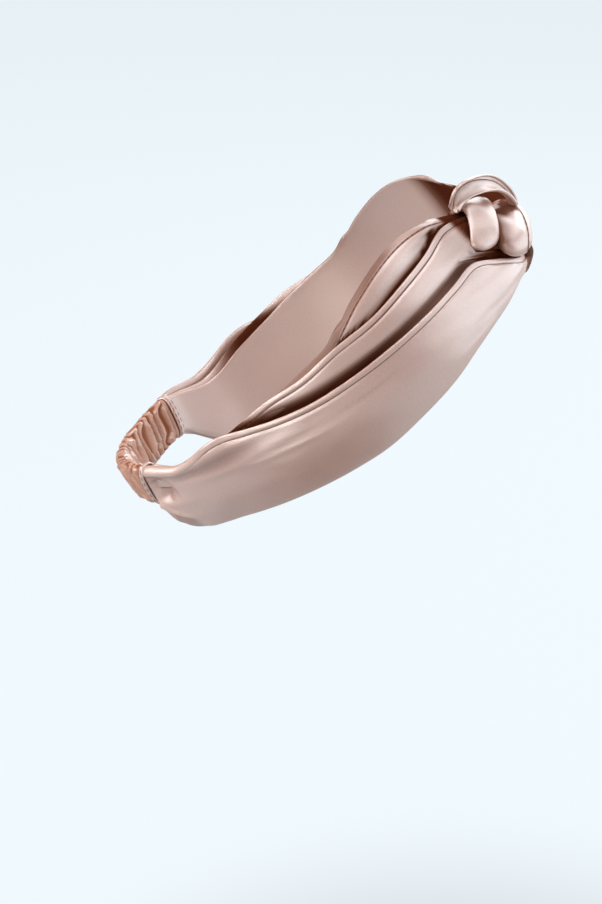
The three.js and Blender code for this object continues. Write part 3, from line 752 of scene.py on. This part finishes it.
    # painted shade on the middle and upper pleats under the knot
    pinched = weight(lambda c: c["pleat"] in ("middle", "upper"))
    root += pinched * smooth_ramp(angle, *KNOT_SHADE)
    # painted shade along the ends at the front
    root += END_SHADE * smooth_ramp(angle, *END_SHADED)
    # the marks are painted shade, in the grooves and in the folds
    marks = {"groove": GROOVE_SHADE * groove, "root": np.clip(root, 0, 1)}
    return points, outward(points, False, True), marks


def mirrored(points):
    return points * np.array((-1, 1, 1))


def groove_columns(creases, steps):
    """The columns of the finer grid where the stitches run."""
    starts = np.concatenate([[0], np.cumsum(steps)])
    return [int(starts[k]) for k, crease in enumerate(creases) if crease["role"] == "groove"]


# The knot


def rounded_circle(value, squareness):
    return math.copysign(abs(value) ** (2 / squareness), value)


def wrap_points():
    """The wrap of the knot: a ring of pleated strip round the ends of the band."""
    creases = table(WRAP_COLUMNS, WRAP_CREASES)
    steps = [crease["steps"] for crease in creases]
    first = creases[0]["angle"]
    last = creases[-1]["angle"]
    rows = []
    shares = []
    for i in range(WRAP_STATIONS):
        turn = 2 * math.pi * i / WRAP_STATIONS
        shares.append((1 + math.cos(turn)) / 2)
        row = []
        for k, crease in enumerate(creases):
            share = (1 + rounded_circle(math.cos(turn), crease["squareness"])) / 2
            rise = (1 + rounded_circle(math.sin(turn), crease["squareness"])) / 2
            sag = WRAP_SAG * (1 - rise) * smoothstep(share, *WRAP_SAGS)
            height = mix(crease["low"], crease["high"], rise) - sag
            lean = WRAP_LEAN * (height - WRAP_LEVEL)
            back_angle = mix(first, last, k / (len(creases) - 1))
            angle = mix(back_angle, crease["angle"] + lean, share)
            row.append(on_ring(angle, height, mix(WRAP_BACK, crease["front"], share)))
        rows.append(row)
    points = finer_across(np.array(rows), steps, closed=False)
    face = finer_weights([1.0 if c["role"] == "face" else 0.0 for c in creases], steps, False)[None, :]
    angle, height = ring_places(points)
    angle = np.mod(angle, 360)
    normal = outward(points, True, False)
    groove = finer_weights([1.0 if c["role"] == "groove" else 0.0 for c in creases], steps, False)[None, :]
    wave = ripple(angle / WRAP_RIPPLE_ALONG, height / WRAP_RIPPLE_ACROSS, WRAP_SEED)
    push = face * WRAP_RIPPLE * wave - groove * WRAP_GROOVE
    back = finer_weights([1.0 if c["role"] == "back" else 0.0 for c in creases], steps, False)[None, :]
    behind = 1 - smooth_ramp(np.array(shares), *WRAP_BEHIND)[:, None]
    far = finer_weights([1.0 if c["role"] == "far" else 0.0 for c in creases], steps, False)[None, :]
    # painted shade on the back rows, on the half of the wrap behind and on the far pleat
    root = back + behind + far * (1 - smooth_ramp(np.array(shares), *WRAP_FAR_SHADE)[:, None])
    # each dent's depth is painted shade in its colour
    for row in table(DENT_COLUMNS, WRAP_DENTS):
        here = face * dent(angle, height, row)
        push += here * row["push"]
        root += here * row["depth"]
    points = points + normal * (push * MM)[..., None]
    normal = facing_out(points, outward(points, True, False))
    # painted shadow of the loop on what faces upwards
    top = smooth_ramp(normal[..., 2], *WRAP_TOP) * smooth_ramp(angle, *WRAP_TOP_SHADED)
    # the marks are painted shade, in the folds and the groove
    marks = {
        "root": np.clip(root + WRAP_TOP_SHADE * top, 0, 1),
        "groove": GROOVE_SHADE * np.broadcast_to(groove, angle.shape),
    }
    return points, normal, marks


def loop_points():
    """The loop that stands over the wrap, bulged between its two rolled edges, and its mark of painted shade
    along the stitches.
    """
    steps = [LOOP_STEPS] * len(LOOP_SECTIONS)
    edges = np.array([[on_ring(*section[side]) for section in LOOP_SECTIONS] for side in (0, 1)])
    inner, outer = finer_across(edges, steps, closed=False)
    run = steps_between(inner[:, None, :].repeat(2, axis=1), 0, False)[:, 0]
    across = unit(outer - inner)
    out = unit(np.cross(across, run))
    width = np.linalg.norm(outer - inner, axis=-1)[:, None]
    roll = np.minimum(LOOP_ROLL * MM, width / 4)
    columns = []
    marks = []
    for turn in LOOP_TURNS:
        lean = math.radians(turn - LOOP_ROLLED)
        place = inner + across * roll * (1 + math.sin(lean))
        columns.append(place + out * roll * (math.cos(lean) - 1))
        marks.append(0)
    for share in LOOP_SHARES:
        stitched = LOOP_HEM - LOOP_HEM_REACH < share < LOOP_HEM + LOOP_HEM_REACH
        rise = LOOP_BULGE * math.sin(math.pi * share) - (LOOP_GROOVE if stitched else 0)
        columns.append(mix(inner + across * roll, outer - across * roll, share) + out * rise * MM)
        marks.append(1 if stitched else 0)
    for turn in LOOP_TURNS[::-1]:
        lean = math.radians(LOOP_ROLLED - turn)
        place = outer - across * roll * (1 - math.sin(lean))
        columns.append(place + out * roll * (math.cos(lean) - 1))
        marks.append(0)
    points = np.stack(columns, axis=1)
    normals = np.broadcast_to(out[:, None, :], points.shape)
    groove = GROOVE_SHADE * np.broadcast_to(np.array(marks, float), points.shape[:2])
    return points, normals, {"groove": groove}


# The casing and the bindings


def section_row(angle_at, lift, half_height, half_depth, squareness, count, pucker):
    """A rounded section of the casing or a binding, pushed out by its puckers."""
    row = []
    for k in range(count):
        turn = 2 * math.pi * k / count
        depth = half_depth + pucker(turn)
        height = SECTION_HEIGHT + half_height * rounded_circle(math.cos(turn), squareness)
        out = depth * rounded_circle(math.sin(turn), squareness)
        row.append(on_ring(angle_at(height), height, lift + out))
    return row


def ruche(arc, turn):
    """How high a point of the casing's gathers stands, from -1 in a valley to 1 on a ridge."""
    round_x = math.cos(turn)
    round_y = math.sin(turn)
    along, turns, wander = RUCHE_DRIFT
    drift = noise.noise(Vector((arc / along, round_x * turns, round_y * turns)))
    along, turns = RUCHE_FORK
    fork = noise.noise(Vector((arc / along, round_x * turns + RUCHE_FORK_SEED, round_y * turns)))
    phase = arc / RUCHE_LENGTH + wander * drift + RUCHE_LEAN * round_x
    ridge = 1 - 2 * abs(math.sin(math.pi * phase)) ** RUCHE_SHARPNESS
    whole, forked, alone = RUCHE_SHARES
    return whole * ridge * (1 + forked * fork) + alone * fork


def casing_points():
    """The surface of the casing and the painted shade deep between its gathers."""
    rows = []
    painted_gather_shade = []
    turns = [2 * math.pi * k / CASING_AROUND for k in range(CASING_AROUND)]
    for i in range(CASING_STATIONS):
        share = i / (CASING_STATIONS - 1)
        side = mix(-1, 1, share)
        to_end = SEAM_ANGLE * (1 - abs(side))
        loose = smoothstep(to_end, BINDING_HALF_ANGLE, BINDING_HALF_ANGLE + RUCHE_START)
        size = mix(CASING_END, 1, loose)
        arc = side * SEAM_ANGLE * CASING_ARC_PER_DEGREE
        gathers = {turn: loose * ruche(arc, turn) for turn in turns}
        angle_at = lambda height: side * (seam_angle(height) - JOIN_HALF_ANGLE)
        pucker = lambda turn: RUCHE_DEPTH * gathers[turn]
        lift = mix(SECTION_LIFT, CASING_LIFT, smoothstep(to_end, *CASING_DRAWN))
        rows.append(section_row(
            angle_at, lift, CASING_HALF_HEIGHT * size, CASING_HALF_DEPTH * size, CASING_SQUARENESS,
            CASING_AROUND, pucker,
        ))
        # painted shade deep between the gathers
        painted_gather_shade.append([loose * smoothstep(-gathers[turn], *RUCHE_SHADED) for turn in turns])
    return np.array(rows), {"root": np.array(painted_gather_shade)}


def binding_points():
    rows = []
    for i in range(BINDING_STATIONS):
        share = i / (BINDING_STATIONS - 1)
        step = mix(-BINDING_HALF_ANGLE, BINDING_HALF_ANGLE, share)
        crown = BINDING_CROWN * math.sqrt(math.sin(math.pi * share))
        angle_at = lambda height: seam_angle(height) + step
        rows.append(section_row(
            angle_at, SECTION_LIFT, BINDING_HALF_HEIGHT + crown, BINDING_HALF_DEPTH + crown,
            BINDING_SQUARENESS, BINDING_AROUND, lambda turn: 0,
        ))
    return np.array(rows)


# Stitches


def one_stitch():
    """A short thread along X whose ends dip into the cloth."""
    bpy.ops.object.select_all(action="DESELECT")
    bpy.ops.mesh.primitive_cylinder_add(
        vertices=STITCH_SIDES, radius=STITCH_RADIUS * MM, depth=STITCH_LENGTH * MM,
        rotation=(0, math.pi / 2, 0),
    )
    stitch = bpy.context.object
    bpy.ops.object.transform_apply(location=False, rotation=True, scale=False)
    level = STITCH_MIDDLE * STITCH_LENGTH * MM / 2
    bpy.ops.object.mode_set(mode="EDIT")
    for place in (-level, level):
        bpy.ops.mesh.select_all(action="SELECT")
        bpy.ops.mesh.bisect(plane_co=(place, 0, 0), plane_no=(1, 0, 0))
    bpy.ops.mesh.select_all(action="DESELECT")
    bpy.ops.object.mode_set(mode="OBJECT")
    for vertex in stitch.data.vertices:
        vertex.select = abs(vertex.co.x) > level * STITCH_PAST_LEVEL
    bpy.ops.object.mode_set(mode="EDIT")
    bpy.ops.transform.translate(value=(0, 0, -STITCH_DIP * MM))
    bpy.ops.object.mode_set(mode="OBJECT")
    bpy.ops.object.shade_smooth()
    return stitch


def stitch_places(line, normals):
    """Where each stitch along a line lies: its middle, its run and the way that it faces."""
    lengths = np.linalg.norm(np.diff(line, axis=0), axis=1)
    along = np.concatenate([[0], np.cumsum(lengths)])

    def at(values, distance):
        return np.array([np.interp(distance, along, values[:, axis]) for axis in range(3)])

    places = []
    start = 0
    while start + STITCH_LENGTH * MM < along[-1]:
        end = start + STITCH_LENGTH * MM
        run = unit(at(line, end) - at(line, start))
        facing = at(normals, (start + end) / 2)
        facing = unit(facing - run * np.dot(facing, run))
        middle = (at(line, start) + at(line, end)) / 2
        places.append((middle, run, np.cross(facing, run), facing))
        start = end + STITCH_GAP * MM
    return places


def stitches(name, lines, thickness, template, material):
    """Stitches along some lines on the outer face of a piece of cloth, joined into one piece."""
    copies = []
    for line, normals in lines:
        for middle, run, aside, facing in stitch_places(line, normals):
            copy = template.copy()
            copy.data = template.data.copy()
            turned = Matrix((run, aside, facing)).transposed().to_4x4()
            place = Vector(middle + facing * thickness * MM / 2)
            copy.matrix_world = Matrix.Translation(place) @ turned
            bpy.context.scene.collection.objects.link(copy)
            copies.append(copy)
    only_active(copies[0])
    for copy in copies:
        copy.select_set(True)
    bpy.ops.object.join()
    bpy.ops.object.transform_apply(location=True, rotation=True, scale=True)
    joined = bpy.context.object
    joined.name = name
    joined.data.materials.append(material)
    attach(joined, "root")
    return joined


def band_stitch_lines(points, normals):
    """The three stitched lines of one half of the band."""
    creases = table(CREASE_COLUMNS, BAND_CREASES)
    columns = groove_columns(creases, [crease["steps"] for crease in creases])
    angle = np.abs(ring_places(points)[0])
    lines = []
    for k, (start, end) in zip(columns, (FRONT_STITCHED, MIDDLE_STITCHED, UPPER_STITCHED)):
        here = (angle[:, k] > start) & (angle[:, k] < end)
        lines.append((points[here, k], normals[here, k]))
    return lines


def wrap_stitch_lines(points, normals):
    """The stitched line on the front of the wrap."""
    creases = table(WRAP_COLUMNS, WRAP_CREASES)
    k = groove_columns(creases, [crease["steps"] for crease in creases])[0]
    stations = np.roll(np.arange(WRAP_STATIONS), WRAP_STATIONS // 2)
    front = stations[np.cos(2 * math.pi * stations / WRAP_STATIONS) > WRAP_STITCHED]
    return [(points[front, k], normals[front, k])]


def loop_stitch_lines(points, normals):
    """The stitched line along the outer hem of the loop."""
    k = len(LOOP_TURNS) + LOOP_SHARES.index(LOOP_HEM)
    return [(points[:, k], normals[:, k])]


def binding_stitch_lines(points):
    """The two stitched lines round a binding."""
    normals = facing_out(points, outward(points, False, True))
    round_about = list(range(BINDING_AROUND)) + [0]
    return [(points[row][round_about], normals[row][round_about]) for row in BINDING_ROWS]


# Materials


def new_material(name):
    material = bpy.data.materials.new(name)
    material.use_nodes = True
    nodes = material.node_tree.nodes
    return material, nodes, material.node_tree.links, nodes["Principled BSDF"]


CLOUD_SCALE = 38
CLOUD_RANGE = (0.3, 0.72)
CLOUD_TONE = (0.9, 0.87, 0.86)  # share of the colour in the darker clouds
GRAIN_SCALE = (800, 1900, 1)
GRAIN_TONE = (0.78, 1.22)
THREAD_SCALE = (420, 2600, 1)
THREAD_RELIEF = (0.3, 0.0002)  # strength, and depth in metres
NO_SHINE_SHADE = 0.7  # amount of painted shade at which the satin's reflection is taken away fully
GLOSS_SPREAD = (-0.06, 0.08)
STRETCHED_SHINE = (0.55, 0.25)  # anisotropy and its turn


def satin(name, colour, deep, roughness, ior):
    """Woven satin: a long float weave, darkened in folds and at stitches by painted shade, which also takes
    away its reflection there.
    """
    material, nodes, links, shader = new_material(name)
    woven = nodes.new("ShaderNodeUVMap")
    woven.uv_map = "woven"
    place = nodes.new("ShaderNodeTexCoord")

    cloudy = nodes.new("ShaderNodeTexNoise")
    cloudy.inputs["Scale"].default_value = CLOUD_SCALE
    cloudy.inputs["Detail"].default_value = 3
    links.new(place.outputs["Object"], cloudy.inputs["Vector"])
    shades = nodes.new("ShaderNodeValToRGB")
    shades.color_ramp.elements[0].position = CLOUD_RANGE[0]
    shades.color_ramp.elements[1].position = CLOUD_RANGE[1]
    clouded = [value * tone for value, tone in zip(colour, CLOUD_TONE)]
    shades.color_ramp.elements[0].color = (*clouded, 1)
    shades.color_ramp.elements[1].color = (*colour, 1)
    links.new(cloudy.outputs["Fac"], shades.inputs["Fac"])
    grain = nodes.new("ShaderNodeMapping")
    grain.inputs["Scale"].default_value = GRAIN_SCALE
    links.new(woven.outputs["UV"], grain.inputs["Vector"])
    speckle = nodes.new("ShaderNodeTexNoise")
    speckle.inputs["Scale"].default_value = 1
    speckle.inputs["Detail"].default_value = 1
    links.new(grain.outputs["Vector"], speckle.inputs["Vector"])
    grainy = nodes.new("ShaderNodeMapRange")
    grainy.inputs["To Min"].default_value = GRAIN_TONE[0]
    grainy.inputs["To Max"].default_value = GRAIN_TONE[1]
    links.new(speckle.outputs["Fac"], grainy.inputs["Value"])
    toned = nodes.new("ShaderNodeMix")
    toned.data_type = "RGBA"
    toned.blend_type = "MULTIPLY"
    toned.inputs["Factor"].default_value = 1
    links.new(shades.outputs["Color"], toned.inputs["A"])
    links.new(grainy.outputs["Result"], toned.inputs["B"])

    # Painted shade: the root and groove marks darken the colour towards the shade colour and take away the
    # reflection
    root = nodes.new("ShaderNodeAttribute")
    root.attribute_name = "root"
    groove = nodes.new("ShaderNodeAttribute")
    groove.attribute_name = "groove"
    deeper = nodes.new("ShaderNodeMath")
    deeper.operation = "MAXIMUM"
    links.new(root.outputs["Fac"], deeper.inputs[0])
    links.new(groove.outputs["Fac"], deeper.inputs[1])
    painted_shade_mix = nodes.new("ShaderNodeMix")
    painted_shade_mix.data_type = "RGBA"
    painted_shade_mix.inputs["B"].default_value = (*deep, 1)
    links.new(deeper.outputs["Value"], painted_shade_mix.inputs["Factor"])
    links.new(toned.outputs["Result"], painted_shade_mix.inputs["A"])
    links.new(painted_shade_mix.outputs["Result"], shader.inputs["Base Color"])
    shine = nodes.new("ShaderNodeMapRange")
    shine.inputs["From Max"].default_value = NO_SHINE_SHADE
    shine.inputs["To Min"].default_value = 1
    shine.inputs["To Max"].default_value = 0
    links.new(deeper.outputs["Value"], shine.inputs["Value"])
    links.new(shine.outputs["Result"], shader.inputs["Specular IOR Level"])

    threads = nodes.new("ShaderNodeMapping")
    threads.inputs["Scale"].default_value = THREAD_SCALE
    links.new(woven.outputs["UV"], threads.inputs["Vector"])
    weave = nodes.new("ShaderNodeTexNoise")
    weave.inputs["Scale"].default_value = 1
    weave.inputs["Detail"].default_value = 2
    links.new(threads.outputs["Vector"], weave.inputs["Vector"])
    relief = nodes.new("ShaderNodeBump")
    relief.inputs["Strength"].default_value = THREAD_RELIEF[0]
    relief.inputs["Distance"].default_value = THREAD_RELIEF[1]
    links.new(weave.outputs["Fac"], relief.inputs["Height"])
    links.new(relief.outputs["Normal"], shader.inputs["Normal"])

    gloss = nodes.new("ShaderNodeMapRange")
    gloss.inputs["To Min"].default_value = roughness + GLOSS_SPREAD[0]
    gloss.inputs["To Max"].default_value = roughness + GLOSS_SPREAD[1]
    links.new(cloudy.outputs["Fac"], gloss.inputs["Value"])
    links.new(gloss.outputs["Result"], shader.inputs["Roughness"])
    tangent = nodes.new("ShaderNodeTangent")
    tangent.direction_type = "UV_MAP"
    tangent.uv_map = "woven"
    links.new(tangent.outputs["Tangent"], shader.inputs["Tangent"])
    shader.inputs["Anisotropic"].default_value = STRETCHED_SHINE[0]
    shader.inputs["Anisotropic Rotation"].default_value = STRETCHED_SHINE[1]
    shader.inputs["IOR"].default_value = ior
    return material


def thread(name, colour):
    material, nodes, links, shader = new_material(name)
    shader.inputs["Base Color"].default_value = (*colour, 1)
    shader.inputs["Roughness"].default_value = 0.5
    return material


def floor_material():
    """A pale floor that glows as painted light, with a soft grey patch of painted shade beside the object,
    outside the picture.
    """
    material, nodes, links, shader = new_material("pale_floor")
    place = nodes.new("ShaderNodeTexCoord")
    aside = nodes.new("ShaderNodeVectorMath")
    aside.operation = "SUBTRACT"
    aside.inputs[1].default_value = FLOOR_SHADE_MIDDLE
    links.new(place.outputs["Object"], aside.inputs[0])
    spread = nodes.new("ShaderNodeVectorMath")
    spread.operation = "DIVIDE"
    spread.inputs[1].default_value = FLOOR_SHADE_SPREAD
    links.new(aside.outputs["Vector"], spread.inputs[0])
    away = nodes.new("ShaderNodeVectorMath")
    away.operation = "LENGTH"
    links.new(spread.outputs["Vector"], away.inputs[0])
    fall = nodes.new("ShaderNodeMapRange")
    fall.interpolation_type = "SMOOTHSTEP"
    fall.inputs["From Min"].default_value = FLOOR_SHADE_FALL[0]
    fall.inputs["From Max"].default_value = FLOOR_SHADE_FALL[1]
    links.new(away.outputs["Value"], fall.inputs["Value"])
    shades = nodes.new("ShaderNodeValToRGB")
    shades.color_ramp.elements[0].color = FLOOR_DARK
    shades.color_ramp.elements[1].color = FLOOR_PALE
    links.new(fall.outputs["Result"], shades.inputs["Fac"])
    links.new(shades.outputs["Color"], shader.inputs["Emission Color"])
    shader.inputs["Base Color"].default_value = FLOOR_BASE
    shader.inputs["Emission Strength"].default_value = FLOOR_GLOW
    shader.inputs["Roughness"].default_value = 0.9
    shader.inputs["Specular IOR Level"].default_value = 0.1
    return material


ROSE = (0.385, 0.203, 0.146)
# painted shade colour of the rose satin, for its folds and grooves
ROSE_PAINTED_SHADE = (0.06, 0.014, 0.006)
ROSE_THREAD = (0.16, 0.07, 0.05)
RUCHED = (0.4, 0.175, 0.1)
# painted shade colour of the ruched satin, for the valleys between its gathers
RUCHED_PAINTED_SHADE = (0.2, 0.065, 0.032)
ROSE_ROUGHNESS = 0.4
ROSE_IOR = 2.1
RUCHED_ROUGHNESS = 0.32
RUCHED_IOR = 1.65
RIGHT_SEED = 3.3
LEFT_SEED = 41.7

rose_satin = satin("rose_satin", ROSE, ROSE_PAINTED_SHADE, ROSE_ROUGHNESS, ROSE_IOR)
ruched_satin = satin("ruched_satin", RUCHED, RUCHED_PAINTED_SHADE, RUCHED_ROUGHNESS, RUCHED_IOR)

right_points, right_normals, right_marks = band_points(RIGHT_FLARE, 0, 0, None, 0, seed=RIGHT_SEED)
left_points, left_normals, left_marks = band_points(
    LEFT_FLARE, LEFT_DROP, LEFT_RISE, LEFT_CORNER, LEFT_INSIDE, seed=LEFT_SEED,
)
band_right = cloth_piece(
    "band_right_satin", right_points, BAND_CLOTH, rose_satin, closed_across=True, marks=right_marks,
)
band_left = cloth_piece(
    "band_left_satin", mirrored(left_points), BAND_CLOTH, rose_satin, closed_across=True, marks=left_marks,
)
wrap_grid, wrap_normals, wrap_marks = wrap_points()
knot_wrap = cloth_piece(
    "knot_wrap_satin", wrap_grid, KNOT_CLOTH, rose_satin, closed_along=True, marks=wrap_marks,
)
loop_grid, loop_normals, loop_marks = loop_points()
knot_loop = cloth_piece("knot_loop_satin", loop_grid, KNOT_CLOTH, rose_satin, marks=loop_marks)
casing_grid, casing_marks = casing_points()
casing = cloth_piece(
    "casing_satin", casing_grid, BINDING_CLOTH, ruched_satin, closed_across=True, marks=casing_marks,
)
binding_grid = binding_points()
seam_right = cloth_piece("seam_right_binding", binding_grid, BINDING_CLOTH, rose_satin, closed_across=True)
seam_left = cloth_piece(
    "seam_left_binding", mirrored(binding_grid), BINDING_CLOTH, rose_satin, closed_across=True,
)

# The cut sizes of the cloth in metres, width and length
BAND_FLAT = (0.115, 0.265)
WRAP_FLAT = (0.03, 0.16)
LOOP_FLAT = (0.011, 0.05)
CASING_FLAT = (0.045, 0.115)
BINDING_FLAT = (0.01, 0.05)
BINDING_AREA = 0.0002  # square metres of cloth in a binding, which is narrower than a width may be

template = one_stitch()
rose_thread = thread("rose_thread", ROSE_THREAD)
mirrored_left = mirrored(left_points)
for piece, lines, cloth in (
    (band_right, band_stitch_lines(right_points, right_normals), BAND_CLOTH),
    (band_left, band_stitch_lines(mirrored_left, mirrored(left_normals)), BAND_CLOTH),
    (knot_wrap, wrap_stitch_lines(wrap_grid, wrap_normals), KNOT_CLOTH),
    (knot_loop, loop_stitch_lines(loop_grid, loop_normals), KNOT_CLOTH),
    (seam_right, binding_stitch_lines(binding_grid), BINDING_CLOTH),
    (seam_left, binding_stitch_lines(mirrored(binding_grid)), BINDING_CLOTH),
):
    stitches(piece.name + "_stitches", lines, cloth, template, rose_thread)
bpy.data.objects.remove(template)

for piece, node, slot, flat, area, held in (
    (band_right, "band_right", "satin", BAND_FLAT, None, "folded"),
    (band_left, "band_left", "satin", BAND_FLAT, None, "folded"),
    (knot_wrap, "knot_wrap", "satin", WRAP_FLAT, None, "folded"),
    (knot_loop, "knot_loop", "satin", LOOP_FLAT, None, "folded"),
    (casing, "elastic_casing", "ruched_satin", CASING_FLAT, None, "gathered"),
    (seam_right, "seam_right", "satin", BINDING_FLAT, BINDING_AREA, "folded"),
    (seam_left, "seam_left", "satin", BINDING_FLAT, BINDING_AREA, "folded"),
):
    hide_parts(node)

# Floor, light and camera
BRIGHT_SIDE = (0.5, -0.65, 0.57)
SKY_COLOUR = (0.9, 0.95, 1, 1)
SKY_FROM = (-0.8, 0.9)  # how far a direction lies towards the bright side
SKY_STRENGTH = (0.15, 0.8)
# The floor glows as painted light, and its grey patch is painted shade for the satin to mirror
FLOOR_SHADE_MIDDLE = (-0.6, -0.08, 0)
FLOOR_SHADE_SPREAD = (0.75, 0.35, 1)
FLOOR_SHADE_FALL = (0.5, 1.1)
FLOOR_DARK = (0.16, 0.15, 0.15, 1)
FLOOR_PALE = (0.87, 0.95, 1, 1)
FLOOR_BASE = (0.06, 0.06, 0.06, 1)
FLOOR_GLOW = 0.86
FLOOR_HEIGHT = -0.34
FLOOR_SIZE = 14
bpy.ops.object.select_all(action="DESELECT")
bpy.ops.mesh.primitive_plane_add(size=FLOOR_SIZE, location=(0, 0, FLOOR_HEIGHT))
floor = bpy.context.object
floor.name = "floor"
floor.data.materials.append(floor_material())

world = bpy.data.worlds.new("studio")
world.use_nodes = True
sky_nodes = world.node_tree.nodes
sky_links = world.node_tree.links
sky = sky_nodes["Background"]
sky.inputs["Color"].default_value = SKY_COLOUR
towards = sky_nodes.new("ShaderNodeTexCoord")
facing = sky_nodes.new("ShaderNodeVectorMath")
facing.operation = "DOT_PRODUCT"
facing.inputs[1].default_value = BRIGHT_SIDE
sky_links.new(towards.outputs["Generated"], facing.inputs[0])
sky_fall = sky_nodes.new("ShaderNodeMapRange")
sky_fall.inputs["From Min"].default_value = SKY_FROM[0]
sky_fall.inputs["From Max"].default_value = SKY_FROM[1]
sky_fall.inputs["To Min"].default_value = SKY_STRENGTH[0]
sky_fall.inputs["To Max"].default_value = SKY_STRENGTH[1]
sky_links.new(facing.outputs["Value"], sky_fall.inputs["Value"])
sky_links.new(sky_fall.outputs["Result"], sky.inputs["Strength"])
bpy.context.scene.world = world
bpy.context.scene.view_settings.view_transform = "Standard"


def area_light(name, place, target, size, power, colour):
    bpy.ops.object.light_add(type="AREA", location=place)
    light = bpy.context.object
    light.name = name
    light.data.shape = "RECTANGLE"
    light.data.size = size[0]
    light.data.size_y = size[1]
    light.data.energy = power
    light.data.color = colour
    aim = Vector(target) - Vector(place)
    light.rotation_euler = aim.to_track_quat("-Z", "Y").to_euler()
    light.visible_camera = False


area_light("front_softbox", (-0.75, -1.15, 0.8), (0, -0.05, 0), (0.7, 0.9), 4, (0.95, 0.98, 1))
area_light("overhead_softbox", (-0.3, 0.1, 1.4), (0, 0, 0), (1.0, 0.6), 8, (0.97, 0.98, 1))
area_light("front_wall", (0.4, -1.5, 0.05), (0, -0.05, 0), (2.4, 1.4), 21, (0.88, 0.95, 1))
area_light("side_fill", (-1.3, 0.7, 0.25), (0, 0, 0), (0.5, 0.8), 10, (1, 0.94, 0.9))
area_light("back_softbox", (-0.3, 1.2, 0.9), (0, 0.05, 0), (0.6, 0.6), 11, (1, 0.97, 0.94))
area_light("back_wall", (0.18, 1.2, 0.3), (0, 0.05, -0.05), (0.5, 0.35), 5, (1, 0.97, 0.94))
area_light("far_wall", (1.3, -0.6, 1.0), (0, -0.05, 0), (1.8, 1.2), 30, (0.88, 0.96, 1))
area_light("knot_light", (0.15, -0.75, 1.0), (0, -0.1, 0.05), (0.5, 0.4), 1.5, (0.9, 0.96, 1))

CAMERA_AZIMUTH = math.radians(272)
CAMERA_ELEVATION = math.radians(20)
CAMERA_DISTANCE = 1.3
CAMERA_LENS = 113.9
CAMERA_SENSOR = 36
VIEW_RIGHT = -0.002727  # from the ring's centre to the middle of the picture, along it
VIEW_UP = -0.0509
back = Vector((
    math.sin(CAMERA_AZIMUTH) * math.cos(CAMERA_ELEVATION),
    -math.cos(CAMERA_AZIMUTH) * math.cos(CAMERA_ELEVATION),
    math.sin(CAMERA_ELEVATION),
))
right = Vector((math.cos(CAMERA_AZIMUTH), math.sin(CAMERA_AZIMUTH), 0))
up = back.cross(right)
camera_data = bpy.data.cameras.new("camera")
camera_data.lens = CAMERA_LENS
camera_data.sensor_fit = "VERTICAL"
camera_data.sensor_height = CAMERA_SENSOR
camera_data.clip_end = 30
camera = bpy.data.objects.new("camera", camera_data)
bpy.context.scene.collection.objects.link(camera)
target = VIEW_RIGHT * right + VIEW_UP * up
turned = Matrix((right, up, back)).transposed().to_4x4()
camera.matrix_world = Matrix.Translation(target + CAMERA_DISTANCE * back) @ turned
bpy.context.scene.camera = camera
